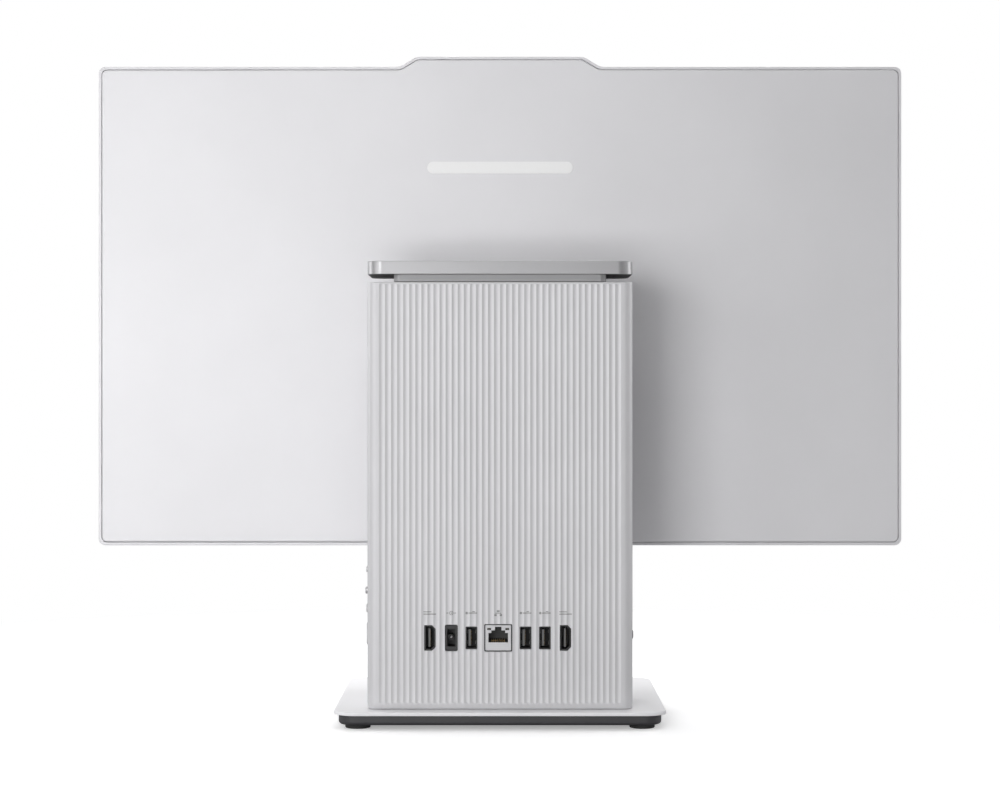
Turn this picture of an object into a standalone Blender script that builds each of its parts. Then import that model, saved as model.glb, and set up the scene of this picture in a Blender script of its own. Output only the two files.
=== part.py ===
"""All-in-one desktop computer: a thin display hinged to a fluted rear tower that
stands on a flat base.

Frame: +Z up, the screen faces -Y, the rear ports face +Y, +X is the user's right.
Origin: centre of the base's footprint, on the desk. Lengths below are millimetres
and are turned into metres when each mesh is made.
"""
import math

import bmesh
import bpy
from mathutils import Vector

MM = 0.001
GAP = 0.3                     # clearance between neighbouring pieces

# display: 23.8 inch 16:9 panel with a 7 mm side border
DISP_W = 541.0
DISP_Z0, DISP_Z1 = 106.6, 429.1
BUMP_Z = 435.9                # raised camera housing on the top edge
BUMP_FOOT, BUMP_TOP = 67.5, 56.3
DISP_Y0, DISP_Y1 = -52.5, -41.0
COVER_Y0, COVER_Y1 = -40.7, -37.0
COVER_INSET = 2.2
CHIN_TOP = 127.6

# tower
TOW_X = 83.25                 # half width
TOW_Y0, TOW_Y1 = 11.7, 78.5
TOW_Z0, TOW_Z1 = 11.6, 279.0
TOW_R = 5.5
WALL = 2.6
SEAM_Y = 66.0                 # rear cover meets the front shell here
FLUTES = 40
FLUTE_SPAN = 151.6
FLUTE_DEPTH = 0.7
FLUTE_Z0, FLUTE_Z1 = 15.4, 277.6

# neck and top plate
NECK_X, NECK_Y0, NECK_Y1 = 66.7, 14.0, 75.5
NECK_Z0, NECK_Z1 = 279.3, 283.6
TOP_X, TOP_Z0, TOP_Z1, TOP_R = 83.4, 283.9, 292.3, 9.5

# base
BASE_X, BASE_Y = 104.0, 92.5
PLATE_Z0, PLATE_Z1 = 9.0, 11.3
TRAY_Z0, TRAY_Z1 = 2.7, 8.7
TRAY_INSET = 3.0
FOOT_R, FOOT_H = 8.0, 2.4
FOOT_X, FOOT_Y = 89.0, 77.0

# tilt hinge
AX_Y, AX_Z = -24.0, 283.0
SHAFT_R, BORE_R, KNUCKLE_R = 4.0, 4.08, 8.0
ARM_X, LUG_X = 20.0, 34.0

# rear connectors: name, centre x, half width x, half height z
PORT_Z = 56.1
PORT_Y0, PORT_Y1 = 57.9, 77.2
VIDEO_A_X, DC_X, USB_A_X, LAN_X = 43.9, 30.5, 17.9, 1.1
USB_B_X, USB_C_X, VIDEO_B_X = -16.0, -28.1, -41.0

# side controls
SIDE_Y = 45.0
POWER_Z, LOWER_Z, NUB_Z, UPPER_Z = 55.7, 72.0, 83.3, 96.9
LIGHT_Z, TYPEC_Z, JACK_Z = 88.5, 65.7, 55.0

# cooling fan
FAN_Z, FAN_Y = 166.0, 31.0


def clear():
    for ob in list(bpy.data.objects):
        bpy.data.objects.remove(ob, do_unlink=True)


def material(name, rgb, rough, metal):
    m = bpy.data.materials.new(name)
    m.use_nodes = True
    b = m.node_tree.nodes["Principled BSDF"]
    b.inputs["Base Color"].default_value = (rgb[0], rgb[1], rgb[2], 1.0)
    b.inputs["Roughness"].default_value = rough
    b.inputs["Metallic"].default_value = metal
    return m


def to_xyz(axis, u, v, w):
    if axis == "z":
        return (u, v, w)
    if axis == "y":
        return (u, w, v)
    return (w, u, v)


def finish(name, bm, mat, origin=(0.0, 0.0, 0.0), smooth=None):
    bmesh.ops.remove_doubles(bm, verts=bm.verts, dist=0.0001)
    bmesh.ops.recalc_face_normals(bm, faces=bm.faces)
    for v in bm.verts:
        v.co = (v.co - Vector(origin)) * MM
    me = bpy.data.meshes.new(name)
    bm.to_mesh(me)
    bm.free()
    ob = bpy.data.objects.new(name, me)
    ob.location = Vector(origin) * MM
    bpy.context.scene.collection.objects.link(ob)
    if mat is not None:
        me.materials.append(mat)
    if smooth is not None:
        me.set_sharp_from_angle(angle=math.radians(smooth))
    return ob


def loft(name, rings, mat, axis="z", origin=(0, 0, 0), smooth=None):
    """Closed solid through rings of (level, outline); all outlines have equal counts."""
    bm = bmesh.new()
    rows = [[bm.verts.new(to_xyz(axis, u, v, w)) for u, v in pts] for w, pts in rings]
    n = len(rows[0])
    for a, b in zip(rows, rows[1:]):
        for i in range(n):
            bm.faces.new((a[i], a[(i + 1) % n], b[(i + 1) % n], b[i]))
    bm.faces.new(rows[0])
    bm.faces.new(list(reversed(rows[-1])))
    if smooth is not None:
        for f in bm.faces:
            f.smooth = True
    return finish(name, bm, mat, origin, smooth)


def prism(name, pts, lo, hi, mat, axis="z", origin=(0, 0, 0), smooth=None):
    return loft(name, [(lo, pts), (hi, pts)], mat, axis, origin, smooth)


def rrect(u0, u1, v0, v1, r=0.0, seg=4):
    if r <= 0:
        return [(u0, v0), (u1, v0), (u1, v1), (u0, v1)]
    out = []
    for cu, cv, a0 in ((u1 - r, v0 + r, -90), (u1 - r, v1 - r, 0),
                       (u0 + r, v1 - r, 90), (u0 + r, v0 + r, 180)):
        for k in range(seg + 1):
            a = math.radians(a0 + 90.0 * k / seg)
            out.append((cu + r * math.cos(a), cv + r * math.sin(a)))
    return out


def circle(cu, cv, r, n=24):
    return [(cu + r * math.cos(2 * math.pi * k / n), cv + r * math.sin(2 * math.pi * k / n))
            for k in range(n)]


def box(name, x0, x1, y0, y1, z0, z1, mat=None, r=0.0, axis="z", seg=4, origin=(0, 0, 0)):
    if axis == "z":
        return prism(name, rrect(x0, x1, y0, y1, r, seg), z0, z1, mat, "z", origin)
    if axis == "y":
        return prism(name, rrect(x0, x1, z0, z1, r, seg), y0, y1, mat, "y", origin)
    return prism(name, rrect(y0, y1, z0, z1, r, seg), x0, x1, mat, "x", origin)


def combine(ob, other, op):
    m = ob.modifiers.new("op", "BOOLEAN")
    m.operation = op
    m.solver = "EXACT"
    m.object = other
    bpy.context.view_layer.update()
    dg = bpy.context.evaluated_depsgraph_get()
    me = bpy.data.meshes.new_from_object(ob.evaluated_get(dg))
    ob.modifiers.clear()
    ob.data = me
    bpy.data.objects.remove(other, do_unlink=True)
    return ob


def cut(ob, *others):
    for o in others:
        combine(ob, o, "DIFFERENCE")
    return ob


def fuse(ob, *others):
    for o in others:
        combine(ob, o, "UNION")
    return ob


def many(name, parts, axis="z"):
    """One cutter from separate, non-touching prisms: each (outline, lo, hi)."""
    bm = bmesh.new()
    for pts, lo, hi in parts:
        a = [bm.verts.new(to_xyz(axis, u, v, lo)) for u, v in pts]
        b = [bm.verts.new(to_xyz(axis, u, v, hi)) for u, v in pts]
        n = len(pts)
        for i in range(n):
            bm.faces.new((a[i], a[(i + 1) % n], b[(i + 1) % n], b[i]))
        bm.faces.new(a)
        bm.faces.new(list(reversed(b)))
    return finish(name, bm, None)


clear()
silver = material("silver_shell", (0.72, 0.72, 0.74), 0.42, 0.0)
light = material("light_plastic", (0.66, 0.66, 0.68), 0.5, 0.0)
alu = material("brushed_plate", (0.74, 0.74, 0.76), 0.3, 1.0)
graphite = material("graphite", (0.06, 0.06, 0.065), 0.55, 0.0)
rubber = material("rubber", (0.03, 0.03, 0.03), 0.9, 0.0)
steel = material("sheet_steel", (0.5, 0.5, 0.52), 0.4, 1.0)
glass = material("screen_glass", (0.01, 0.01, 0.012), 0.08, 0.0)
panel_m = material("panel_metal", (0.4, 0.4, 0.42), 0.4, 1.0)
pcb = material("circuit_board", (0.02, 0.12, 0.06), 0.5, 0.0)
chip = material("chip", (0.03, 0.03, 0.035), 0.4, 0.0)
copper = material("copper", (0.72, 0.38, 0.22), 0.3, 1.0)
fin_m = material("fin_metal", (0.7, 0.7, 0.72), 0.35, 1.0)
black = material("black_plastic", (0.02, 0.02, 0.022), 0.5, 0.0)
socket = material("socket_metal", (0.55, 0.55, 0.57), 0.3, 1.0)
white = material("mark_white", (0.9, 0.9, 0.9), 0.4, 0.0)

# ------------------------------------------------------------------ base
for tag, sx, sy in (("fr", 1, -1), ("fl", -1, -1), ("rr", 1, 1), ("rl", -1, 1)):
    cx, cy = sx * FOOT_X, sy * FOOT_Y
    loft("foot_" + tag, [(0.0, circle(cx, cy, FOOT_R - 0.5, 20)),
                         (0.6, circle(cx, cy, FOOT_R, 20)),
                         (FOOT_H, circle(cx, cy, FOOT_R, 20))], rubber)

tx, ty = BASE_X - TRAY_INSET, BASE_Y - TRAY_INSET
loft("base_tray", [(TRAY_Z0, rrect(-tx + 2, tx - 2, -ty + 2, ty - 2, 6.5, 5)),
                   (TRAY_Z0 + 0.8, rrect(-tx + 0.6, tx - 0.6, -ty + 0.6, ty - 0.6, 7.6, 5)),
                   (TRAY_Z0 + 2.2, rrect(-tx, tx, -ty, ty, 8.0, 5)),
                   (TRAY_Z1, rrect(-tx, tx, -ty, ty, 8.0, 5))], graphite)
loft("base_plate", [(PLATE_Z0, rrect(-BASE_X, BASE_X, -BASE_Y, BASE_Y, 10.0, 6)),
                    (PLATE_Z1 - 0.5, rrect(-BASE_X, BASE_X, -BASE_Y, BASE_Y, 10.0, 6)),
                    (PLATE_Z1, rrect(-BASE_X + 0.5, BASE_X - 0.5, -BASE_Y + 0.5,
                                     BASE_Y - 0.5, 9.5, 6))], silver)

# ------------------------------------------------------------------ tower shells


def u_outline(y_open, y_back, r):
    """U-shaped wall outline in plan: open at y_open, closed at y_back."""
    s = 1 if y_back > y_open else -1
    out, inn = [], []
    for wall, pts in ((0.0, out), (WALL, inn)):
        x, yb, rr = TOW_X - wall, y_back - s * wall, max(r - wall, 0.6)
        pts.append((x, y_open))
        for k in range(6):
            a = math.radians(90.0 * k / 5)
            pts.append((x - rr + rr * math.cos(a), yb - s * rr + s * rr * math.sin(a)))
        for k in range(6):
            a = math.radians(90.0 - 90.0 * k / 5)
            pts.append((-x + rr - rr * math.cos(a), yb - s * rr + s * rr * math.sin(a)))
        pts.append((-x, y_open))
    return out + inn[::-1]


front = prism("tower_front_shell", u_outline(SEAM_Y - GAP, TOW_Y0, TOW_R), TOW_Z0, TOW_Z1, light)
side_cuts = []
for z, hz, hy in ((POWER_Z, 7.3, 2.8), (LOWER_Z, 2.95, 4.8), (NUB_Z, 2.6, 2.6),
                  (UPPER_Z, 2.1, 4.8)):
    r = min(hz, hy) - 0.02
    side_cuts.append((rrect(SIDE_Y - hy, SIDE_Y + hy, z - hz, z + hz, r, 4), 79.0, 86.0))
side_cuts.append((rrect(SIDE_Y - 4.9, SIDE_Y + 4.9, TYPEC_Z - 1.95, TYPEC_Z + 1.95, 1.9, 4),
                  -86.0, -79.0))
side_cuts.append((circle(SIDE_Y, JACK_Z, 2.9, 16), -86.0, -79.0))
side_cuts.append((circle(SIDE_Y, LIGHT_Z, 1.1, 12), -86.0, -79.0))
cut(front, many("c", side_cuts, "x"))
grille = []
for k in range(8):                       # sound slots over each speaker
    y = 24.5 + 3.2 * k
    for x0, x1 in ((79.0, 86.0), (-86.0, -79.0)):
        grille.append((rrect(y - 0.7, y + 0.7, 132.0, 188.0, 0.0), x0, x1))
cut(front, many("c", grille, "x"))
intake = []
for k in range(15):                      # air intake on the face behind the display
    x = -56.0 + 8.0 * k
    intake.append((rrect(x - 1.5, x + 1.5, 128.0, 204.0, 0.0), 10.0, 16.0))
cut(front, many("c", intake, "y"))

rear = prism("tower_rear_cover", u_outline(SEAM_Y, TOW_Y1, TOW_R), TOW_Z0, TOW_Z1, light)
pitch = FLUTE_SPAN / FLUTES
flutes = []
for k in range(FLUTES):
    x0 = -FLUTE_SPAN / 2 + pitch * k
    a, b = x0 + 0.25, x0 + pitch - 0.25
    m = 0.5 * (a + b)
    flutes.append(([(a, TOW_Y1 + 1), (a, TOW_Y1 - 0.02), (m - 0.75, TOW_Y1 - FLUTE_DEPTH),
                    (m + 0.75, TOW_Y1 - FLUTE_DEPTH), (b, TOW_Y1 - 0.02), (b, TOW_Y1 + 1)],
                   FLUTE_Z0, FLUTE_Z1))
cut(rear, many("c", flutes, "z"))


def d_outline(cx, cz, hx, hz, ch):
    """Tall socket outline with two corners chamfered on the -X side."""
    return [(cx + hx, cz - hz), (cx + hx, cz + hz), (cx - hx + ch, cz + hz),
            (cx - hx, cz + hz - ch), (cx - hx, cz - hz + ch), (cx - hx + ch, cz - hz)]


C = 0.3
holes = []
for x in (VIDEO_A_X, VIDEO_B_X):
    holes.append((d_outline(x, PORT_Z, 3.3 + C, 7.75 + C, 2.2), 70.0, 82.0))
for x in (USB_A_X, USB_B_X, USB_C_X):
    holes.append((rrect(x - 3.4 - C, x + 3.4 + C, PORT_Z - 6.9 - C, PORT_Z + 6.9 + C, 0.5, 2),
                  70.0, 82.0))
holes.append((rrect(DC_X - 3.75 - C, DC_X + 3.75 + C, PORT_Z - 8.05 - C, PORT_Z + 8.05 + C,
                    1.2, 3), 70.0, 82.0))
holes.append((rrect(LAN_X - 8.1 - C, LAN_X + 8.1 + C, PORT_Z - 8.0 - C, PORT_Z + 8.0 + C,
                    0.6, 2), 70.0, 82.0))
cut(rear, many("c", holes, "y"))

cap = box("tower_top_cap", -80.3, 80.3, 14.7, 75.5, 276.0, 278.8, light, 3.0)
vents = []
for k in range(12):
    y = 20.0 + 4.6 * k
    for x0, x1 in ((68.6, 78.6), (-78.6, -68.6)):
        vents.append((rrect(x0, x1, y - 1.1, y + 1.1, 0.0), 274.0, 281.0))
cut(cap, many("c", vents, "z"))

floor_ = box("tower_floor", -80.3, 80.3, 14.7, 75.5, 11.6, 13.4, steel, 3.0)
cut(floor_, many("c", [(rrect(-60 + 24 * k, -44 + 24 * k, 30.0, 48.0, 2.0, 3), 10.0, 15.0)
                       for k in range(5)], "z"))

frame_ = prism("chassis_frame", [(17.0, 16.0), (18.6, 16.0), (18.6, 272.4), (52.0, 272.4),
                                 (52.0, 274.0), (17.0, 274.0)], -74.0, 74.0, steel, "x")
cut(frame_, many("c", [(rrect(-46.0, 46.0, 120.0, 208.0, 5.0, 3), 15.0, 21.0),
                       (rrect(-60.0, 60.0, 28.0, 60.0, 4.0, 3), 15.0, 21.0),
                       (rrect(-60.0, 60.0, 70.0, 110.0, 4.0, 3), 15.0, 21.0),
                       (rrect(-60.0, 60.0, 220.0, 258.0, 4.0, 3), 15.0, 21.0)], "y"),
     many("c", [(rrect(-48.0, 48.0, 24.0, 46.0, 3.0, 3), 270.0, 276.0)], "z"))

# ------------------------------------------------------------------ neck, top plate, hinge
box("neck_block", -NECK_X, NECK_X, NECK_Y0, NECK_Y1, NECK_Z0, NECK_Z1, silver, 4.0)
loft("top_plate", [(TOP_Z0, rrect(-TOP_X + 0.5, TOP_X - 0.5, TOW_Y0 + 0.5, TOW_Y1 - 0.5, 9.0, 6)),
                   (TOP_Z0 + 0.5, rrect(-TOP_X, TOP_X, TOW_Y0, TOW_Y1, TOP_R, 6)),
                   (TOP_Z1 - 0.5, rrect(-TOP_X, TOP_X, TOW_Y0, TOW_Y1, TOP_R, 6)),
                   (TOP_Z1, rrect(-TOP_X + 0.5, TOP_X - 0.5, TOW_Y0 + 0.5, TOW_Y1 - 0.5, 9.0, 6))],
     alu)

arm = box("hinge_arm", -38.0, 38.0, -10.0, 11.4, 280.0, 290.4, steel, 3.0)
knuckle = [(-4.0, 288.8), (-4.0, 281.2)]
knuckle += [(AX_Y + KNUCKLE_R * math.cos(math.radians(a)),
             AX_Z + KNUCKLE_R * math.sin(math.radians(a))) for a in range(-70, -295, -15)]
fuse(arm, prism("c", knuckle, -ARM_X, ARM_X, None, "x"))
cut(arm, prism("c", circle(AX_Y, AX_Z, BORE_R, 32), -40.0, 40.0, None, "x"))
prism("hinge_shaft", circle(AX_Y, AX_Z, SHAFT_R, 32), -LUG_X - 2, LUG_X + 2, steel, "x", smooth=40)

# ------------------------------------------------------------------ connectors


def socket_box(name, x, hx, hz, wall, tongue_x, tongue_t, mat, pts=None, inner=None):
    """Hollow metal socket on the board's rear, with a contact tongue inside."""
    outer = pts or rrect(x - hx, x + hx, PORT_Z - hz, PORT_Z + hz, 0.5, 2)
    hole = inner or rrect(x - hx + wall, x + hx - wall, PORT_Z - hz + wall, PORT_Z + hz - wall)
    ob = prism(name, outer, PORT_Y0, PORT_Y1, mat, "y")
    cut(ob, prism("c", hole, PORT_Y0 + 4.0, PORT_Y1 + 1, None, "y"))
    if tongue_t:
        fuse(ob, box("c", tongue_x - tongue_t / 2, tongue_x + tongue_t / 2,
                     PORT_Y0 + 3.0, PORT_Y1 - 1.6, PORT_Z - hz + 1.6, PORT_Z + hz - 1.6))
    return ob


socket_box("port_video_a", VIDEO_A_X, 3.3, 7.75, 0.9, VIDEO_A_X + 0.3, 1.3, socket,
           d_outline(VIDEO_A_X, PORT_Z, 3.3, 7.75, 2.2),
           d_outline(VIDEO_A_X, PORT_Z, 2.4, 6.9, 1.8))
socket_box("port_video_b", VIDEO_B_X, 3.3, 7.75, 0.9, VIDEO_B_X + 0.3, 1.3, socket,
           d_outline(VIDEO_B_X, PORT_Z, 3.3, 7.75, 2.2),
           d_outline(VIDEO_B_X, PORT_Z, 2.4, 6.9, 1.8))
for nm, x in (("port_usb_a", USB_A_X), ("port_usb_b", USB_B_X), ("port_usb_c", USB_C_X)):
    socket_box(nm, x, 3.4, 6.9, 0.6, x + 1.1, 1.6, socket)
dc = socket_box("port_power_in", DC_X, 3.75, 8.05, 1.2, 0, 0, black)
fuse(dc, prism("c", circle(DC_X, PORT_Z, 0.9, 12), PORT_Y0 + 3, PORT_Y1 - 2, None, "y"))
lan = box("port_network", LAN_X - 8.1, LAN_X + 8.1, PORT_Y0, PORT_Y1, PORT_Z - 8.0,
          PORT_Z + 8.0, socket, 0.6, "y", 2)
cut(lan, prism("c", [(LAN_X - 6.2, PORT_Z - 3.0), (LAN_X + 6.2, PORT_Z - 3.0),
                     (LAN_X + 6.2, PORT_Z + 4.1), (LAN_X + 3.2, PORT_Z + 4.1),
                     (LAN_X + 3.2, PORT_Z + 6.8), (LAN_X - 3.2, PORT_Z + 6.8),
                     (LAN_X - 3.2, PORT_Z + 4.1), (LAN_X - 6.2, PORT_Z + 4.1)],
               PORT_Y0 + 4.0, PORT_Y1 + 1, None, "y"))

# ------------------------------------------------------------------ board and what it carries
board = box("motherboard", -73.0, 73.0, 56.0, 57.6, 40.0, 206.0, pcb, 2.0, "y")
cut(board, many("c", [(circle(sx * 68.0, z, 1.6, 12), 54.0, 60.0)
                      for sx in (-1, 1) for z in (45.0, 123.0, 201.0)], "y"))
box("cpu_package", -18.0, 18.0, 53.4, 55.7, 121.0, 157.0, chip, 1.0, "y", 2)
cold = box("cold_plate", -24.0, 24.0, 50.0, 53.1, 115.0, 163.0, copper, 2.0, "y", 2)
cut(cold, many("c", [(circle(sx * 20.0, z, 1.5, 10), 48.0, 55.0)
                     for sx in (-1, 1) for z in (119.0, 159.0)], "y"))
box("memory_upper", -70.0, -2.4, 48.0, 51.7, 78.0, 108.0, pcb, 0.0, "y")
box("memory_lower", -70.0, -2.4, 52.0, 55.7, 78.0, 108.0, pcb, 0.0, "y")
box("solid_state_drive", 32.0, 54.0, 52.6, 55.7, 78.0, 158.0, chip, 0.0, "y")
box("wireless_card", -62.0, -40.0, 53.2, 55.7, 165.0, 195.0, pcb, 0.0, "y")
prism("clock_battery", circle(45.0, 180.0, 10.0, 24), 52.5, 55.7, steel, "y", smooth=40)

# bent heat pipe from the cold plate up to the fins
path = [(0.0, 118.0), (0.0, 206.0)]
path += [(10.0 - 10.0 * math.cos(math.radians(a)), 206.0 + 10.0 * math.sin(math.radians(a)))
         for a in (18, 36, 54, 72)]
path += [(10.0, 216.0), (44.0, 216.0)]
bm = bmesh.new()
rows = []
for i, (px, pz) in enumerate(path):
    a = path[max(i - 1, 0)]
    b = path[min(i + 1, len(path) - 1)]
    t = Vector((b[0] - a[0], 0.0, b[1] - a[1])).normalized()
    side = Vector((0.0, 1.0, 0.0))
    nrm = t.cross(side).normalized()
    rows.append([bm.verts.new(Vector((px, 46.7, pz))
                              + side * (3.0 * math.cos(math.radians(36 * k)))
                              + nrm * (3.0 * math.sin(math.radians(36 * k))))
                 for k in range(10)])
for a, b in zip(rows, rows[1:]):
    for k in range(10):
        bm.faces.new((a[k], a[(k + 1) % 10], b[(k + 1) % 10], b[k]))
bm.faces.new(rows[0])
bm.faces.new(list(reversed(rows[-1])))
for f in bm.faces:
    f.smooth = True
finish("heat_pipe", bm, copper, smooth=40)

fins = box("fin_stack", -48.0, 48.0, 21.0, 43.4, 213.0, 241.0, fin_m, 0.0)
cut(fins, many("c", [(rrect(-46.6 + 6.0 * k, -42.4 + 6.0 * k, 19.0, 41.4, 0.0), 211.0, 243.0)
                     for k in range(15)], "z"))

house = box("fan_housing", -42.0, 42.0, 20.5, 41.5, 122.0, 210.0, black, 8.0, "y", 4)
cut(house, prism("c", circle(0.0, FAN_Z, 36.0, 36), 22.3, 40.0, None, "y"),
    box("c", -24.0, 35.0, 22.31, 39.99, FAN_Z + 12, 213.0),
    prism("c", circle(0.0, FAN_Z, 24.0, 28), 18.0, 24.0, None, "y"))
fuse(house, prism("c", circle(0.0, FAN_Z, 4.5, 16), 29.0, 40.8, None, "y"))

blade = []
NB = 13
for k in range(NB):
    t0 = 2 * math.pi * k / NB
    for r, d in ((13.0, 0.0), (23.0, 0.16), (33.0, 0.38), (33.0, 0.43), (23.0, 0.23),
                 (13.0, 0.12), (13.0, 0.3)):
        blade.append((r * math.cos(t0 + d), FAN_Z + r * math.sin(t0 + d)))
rotor = prism("fan_rotor", blade, 24.6, 37.6, black, "y", origin=(0.0, FAN_Y, FAN_Z))
cut(rotor, prism("c", circle(0.0, FAN_Z, 5.2, 16), 28.0, 40.0, None, "y"))

for nm, s in (("speaker_right", 1), ("speaker_left", -1)):
    x0, x1 = (50.0, 79.6) if s > 0 else (-79.6, -50.0)
    ob = box(nm, x0, x1, 21.0, 49.0, 124.0, 196.0, black, 2.0, "x", 2)
    xf = s * 79.6
    cut(ob, many("c", [(circle(35.0, z, 11.0, 20), min(xf - s * 3.0, xf + s), max(xf - s * 3.0, xf + s))
                       for z in (145.0, 175.0)], "x"))

# ------------------------------------------------------------------ side controls
sw = box("switch_board", 74.0, 75.6, 36.0, 54.0, 46.0, 104.0, pcb, 1.0, "x", 2)
fuse(sw, *[box("c", 75.0, 77.0, SIDE_Y - 1.5, SIDE_Y + 1.5, z - 1.2, z + 1.2)
           for z in (POWER_Z, LOWER_Z, NUB_Z, UPPER_Z)])


def key(name, z, hz, hy, proud, mat):
    r = min(hz, hy) - 0.02
    ob = prism(name, rrect(SIDE_Y - hy, SIDE_Y + hy, z - hz, z + hz, r, 4), 78.0,
               TOW_X + proud, mat, "x", origin=(TOW_X, SIDE_Y, z))
    fuse(ob, prism("c", rrect(SIDE_Y - hy - 1.1, SIDE_Y + hy + 1.1, z - hz - 1.0, z + hz + 1.0,
                              r, 4), 78.6, 80.3, None, "x"))
    return ob


key("power_button", POWER_Z, 7.0, 2.5, 0.7, silver)
key("key_lower", LOWER_Z, 2.65, 4.5, 0.9, silver)
key("menu_stick", NUB_Z, 2.3, 2.3, 1.4, silver)
key("key_upper", UPPER_Z, 1.8, 4.5, 0.7, silver)

sio = box("side_port_board", -75.6, -74.0, 36.0, 54.0, 48.0, 94.0, pcb, 1.0, "x", 2)
uc = prism("port_side_small", rrect(SIDE_Y - 4.6, SIDE_Y + 4.6, TYPEC_Z - 1.65, TYPEC_Z + 1.65,
                                    1.6, 4), -83.45, -75.9, socket, "x")
cut(uc, prism("c", rrect(SIDE_Y - 4.2, SIDE_Y + 4.2, TYPEC_Z - 1.25, TYPEC_Z + 1.25, 1.2, 4),
              -84.0, -78.0, None, "x"))
fuse(uc, box("c", -82.6, -77.0, SIDE_Y - 3.3, SIDE_Y + 3.3, TYPEC_Z - 0.35, TYPEC_Z + 0.35))
jack = prism("port_audio", circle(SIDE_Y, JACK_Z, 2.6, 20), -83.3, -75.9, black, "x")
cut(jack, prism("c", circle(SIDE_Y, JACK_Z, 1.8, 20), -84.0, -77.0, None, "x"))
prism("status_light", circle(SIDE_Y, LIGHT_Z, 0.8, 12), -83.2, -75.9, white, "x")

# ------------------------------------------------------------------ display


def display_outline(inset, r, seg=5):
    x, z0, z1, zb = DISP_W / 2 - inset, DISP_Z0 + inset, DISP_Z1 - inset, BUMP_Z - inset
    pts = []
    for cu, cv, a0 in ((x - r, z0 + r, -90), (x - r, z1 - r, 0)):
        for k in range(seg + 1):
            a = math.radians(a0 + 90.0 * k / seg)
            pts.append((cu + r * math.cos(a), cv + r * math.sin(a)))
    f, t = BUMP_FOOT - 0.6 * inset, BUMP_TOP - 0.6 * inset
    pts += [(f, z1), (t, zb), (-t, zb), (-f, z1)]
    for cu, cv, a0 in ((-x + r, z1 - r, 90), (-x + r, z0 + r, 180)):
        for k in range(seg + 1):
            a = math.radians(a0 + 90.0 * k / seg)
            pts.append((cu + r * math.cos(a), cv + r * math.sin(a)))
    return pts


fr = prism("display_frame", display_outline(0.0, 4.5), DISP_Y0, DISP_Y1, silver, "y")
cut(fr, box("c", -267.3, 267.3, DISP_Y0 - 1, DISP_Y1 + 1, 109.2, 426.4, None, 1.5, "y"),
    box("c", -50.0, 50.0, DISP_Y0 - 1, -44.4, 427.6, 434.4, None, 0.8, "y"))
loft("display_back", [(COVER_Y0, display_outline(COVER_INSET, 3.0)),
                      (COVER_Y1 - 1.0, display_outline(COVER_INSET, 3.0)),
                      (COVER_Y1, display_outline(COVER_INSET + 1.0, 2.2))], silver, "y")
box("front_glass", -267.0, 267.0, -52.2, -50.9, CHIN_TOP + GAP, 426.1, glass, 1.2, "y")
box("chin_cover", -267.0, 267.0, -52.2, -50.6, 109.5, CHIN_TOP, silver, 1.2, "y")
box("lcd_panel", -266.6, 266.6, -50.6, -45.0, 121.5, 425.6, panel_m)
box("panel_edge_board", -110.0, 110.0, -48.6, -47.0, 110.6, 119.6, pcb)
box("panel_driver_board", 20.0, 110.0, -44.2, -42.4, 150.0, 210.0, pcb)
bar = box("camera_bar", -49.7, 49.7, -52.4, -51.4, 427.9, 434.1, black, 0.6, "y", 2)
cut(bar, prism("c", rrect(-4.0, 14.0, 429.5, 432.5, 1.4, 4), -54.0, -50.0, None, "y"))
cam = box("camera_module", -10.0, 16.0, -50.2, -44.7, 428.2, 433.8, black, 0.6, "y", 2)
cut(cam, prism("c", circle(0.0, 431.0, 1.5, 16), -51.0, -49.0, None, "y"))
shut = box("camera_shutter", 3.5, 12.5, -51.1, -50.5, 428.7, 433.3, graphite, 0.4, "y", 2,
           origin=(8.0, -51.0, 431.0))
fuse(shut, prism("c", rrect(6.4, 9.6, 429.8, 432.2, 1.0, 3), -52.95, -50.9, None, "y"))

brk = box("display_bracket", -58.0, 58.0, -36.7, -33.9, 216.0, 293.0, steel, 5.0, "y")
for s in (-1, 1):
    x0, x1 = (ARM_X + GAP, LUG_X) if s > 0 else (-LUG_X, -ARM_X - GAP)
    lug = [(-35.0, 264.0), (-35.0, 292.4), (AX_Y - 6.0, 290.6)]
    lug += [(AX_Y + KNUCKLE_R * math.cos(math.radians(a)),
             AX_Z + KNUCKLE_R * math.sin(math.radians(a))) for a in range(100, -101, -20)]
    lug += [(AX_Y - 6.0, 275.4)]
    fuse(brk, prism("c", lug, x0, x1, None, "x"))
cut(brk, prism("c", circle(AX_Y, AX_Z, BORE_R, 32), -60.0, 60.0, None, "x"),
    many("c", [(circle(sx * 50.0, z, 2.2, 12), -40.0, -30.0)
               for sx in (-1, 1) for z in (224.0, 285.0)], "y"))
box("back_mark", -49.0, 49.0, -36.7, -36.3, 357.0, 365.0, white, 3.9, "y", 5)
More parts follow.
